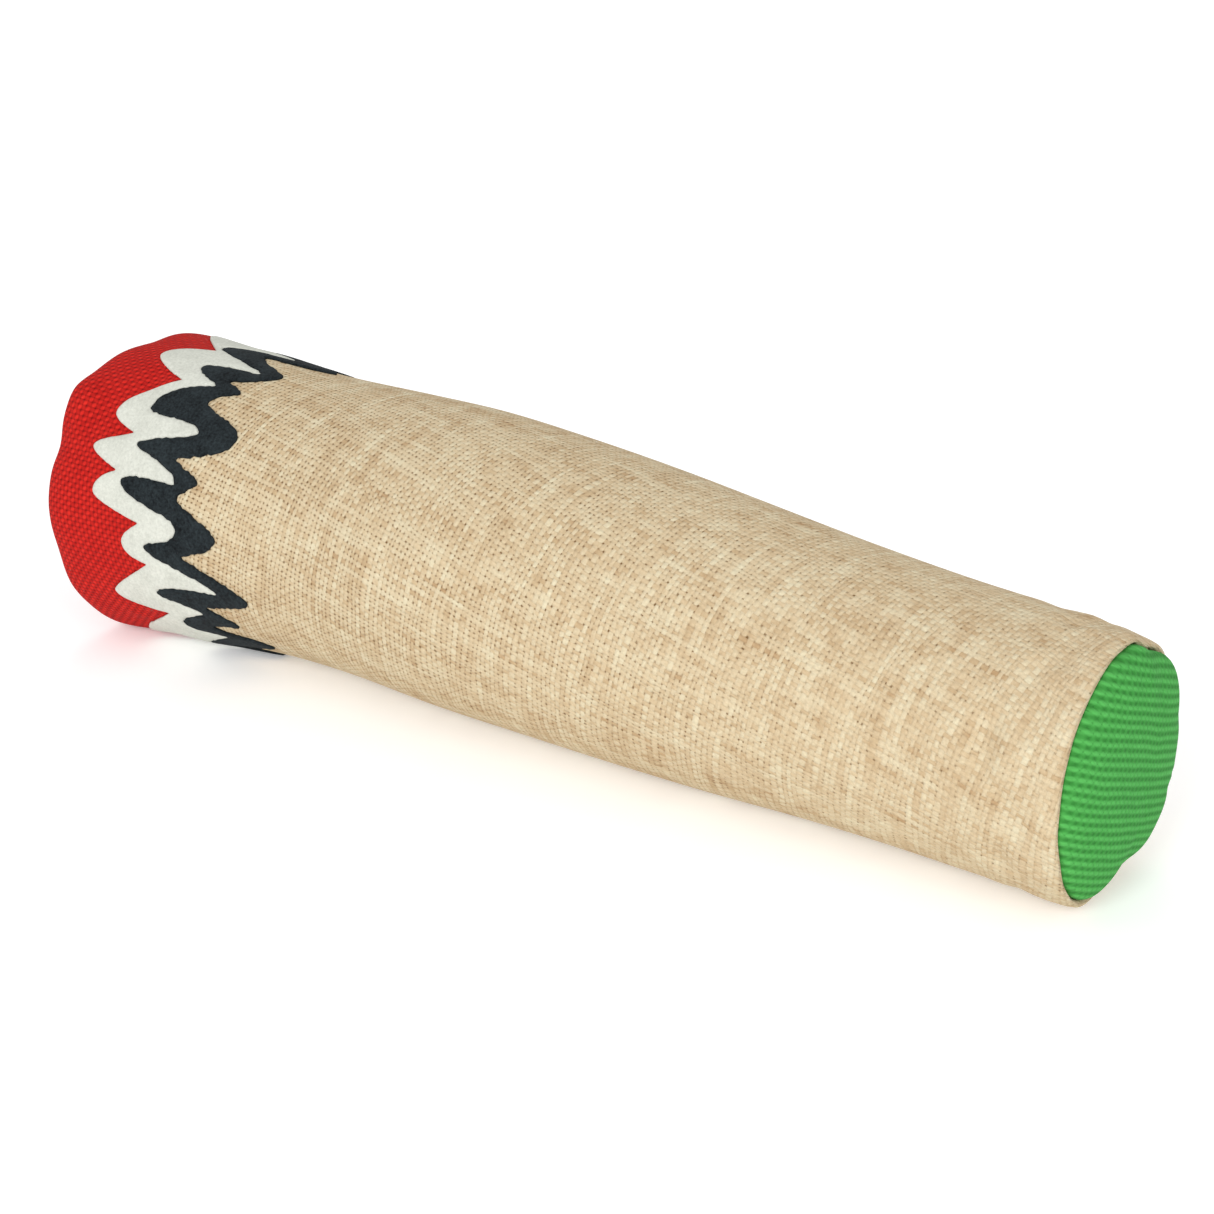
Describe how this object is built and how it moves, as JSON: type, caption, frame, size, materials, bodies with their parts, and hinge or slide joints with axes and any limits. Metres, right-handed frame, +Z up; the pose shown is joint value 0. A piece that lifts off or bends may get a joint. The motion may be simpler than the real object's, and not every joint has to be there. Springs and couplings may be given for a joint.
{
  "type": "soft rainstick",
  "caption": "Hand-size soft rainstick: tapered stuffed cloth cover with felt zigzag bands over a pinned cardboard tube of sliding beads.",
  "frame": {"origin": "on the ground under the middle of the stick as it lies, at the bottom centre of its box", "axes": "+X along the stick from the wide red end to the narrow green end, +Z up, +Y to the back, where the lengthwise seam is; the core dips 2 degrees towards +X"},
  "size_m": [0.204, 0.0563, 0.0542],
  "materials": {
    "linen": "slubby linen-look plain weave",
    "red_canvas": "coarse basket canvas",
    "green_canvas": "ribbed canvas",
    "white_felt": "smooth felt",
    "black_felt": "smooth felt",
    "thread": "cotton sewing thread",
    "batting": "loose polyester fibre",
    "cardboard": "spiral-wound board",
    "paper_tape": "kraft paper tape",
    "plug_wood": "turned, unfinished",
    "bamboo": "split bamboo",
    "bead_plastic": "moulded gloss"
  },
  "bodies": {
    "stick": {"linen_sleeve": "linen", "black_band": "black_felt", "white_band": "white_felt", "red_side": "red_canvas", "green_cap": "green_canvas", "red_cap": "red_canvas", "sleeve_seam": "linen", "closing_stitch": "thread", "red_cap_stitches": "thread", "green_cap_stitches": "thread", "batting_wrap": "batting", "batting_pad_red": "batting", "batting_pad_green": "batting", "core_tube": "cardboard", "core_wrap": "paper_tape", "plug_red": "plug_wood", "plug_green": "plug_wood", "pins_turn_1": "bamboo", "pins_turn_2": "bamboo", "pins_turn_3": "bamboo", "pins_turn_4": "bamboo", "pins_turn_5": "bamboo", "pins_turn_6": "bamboo", "pins_turn_7": "bamboo"},
    "bead_row_left": {"bead_row_left": "bead_plastic"},
    "bead_row_middle": {"bead_row_middle": "bead_plastic"},
    "bead_row_right": {"bead_row_right": "bead_plastic"},
    "bead_row_upper": {"bead_row_upper": "bead_plastic"}
  },
  "joints": [
    {"name": "beads_left_slide", "type": "slide", "parent": "stick", "child": "bead_row_left", "axis": [-0.9994, 0, 0.0358], "range_m": [0, 0.1145]},
    {"name": "beads_middle_slide", "type": "slide", "parent": "stick", "child": "bead_row_middle", "axis": [-0.9994, 0, 0.0358], "range_m": [0, 0.1071]},
    {"name": "beads_right_slide", "type": "slide", "parent": "stick", "child": "bead_row_right", "axis": [-0.9994, 0, 0.0358], "range_m": [0, 0.1108]},
    {"name": "beads_upper_slide", "type": "slide", "parent": "stick", "child": "bead_row_upper", "axis": [-0.9994, 0, 0.0358], "range_m": [0, 0.1182]}
  ]
}
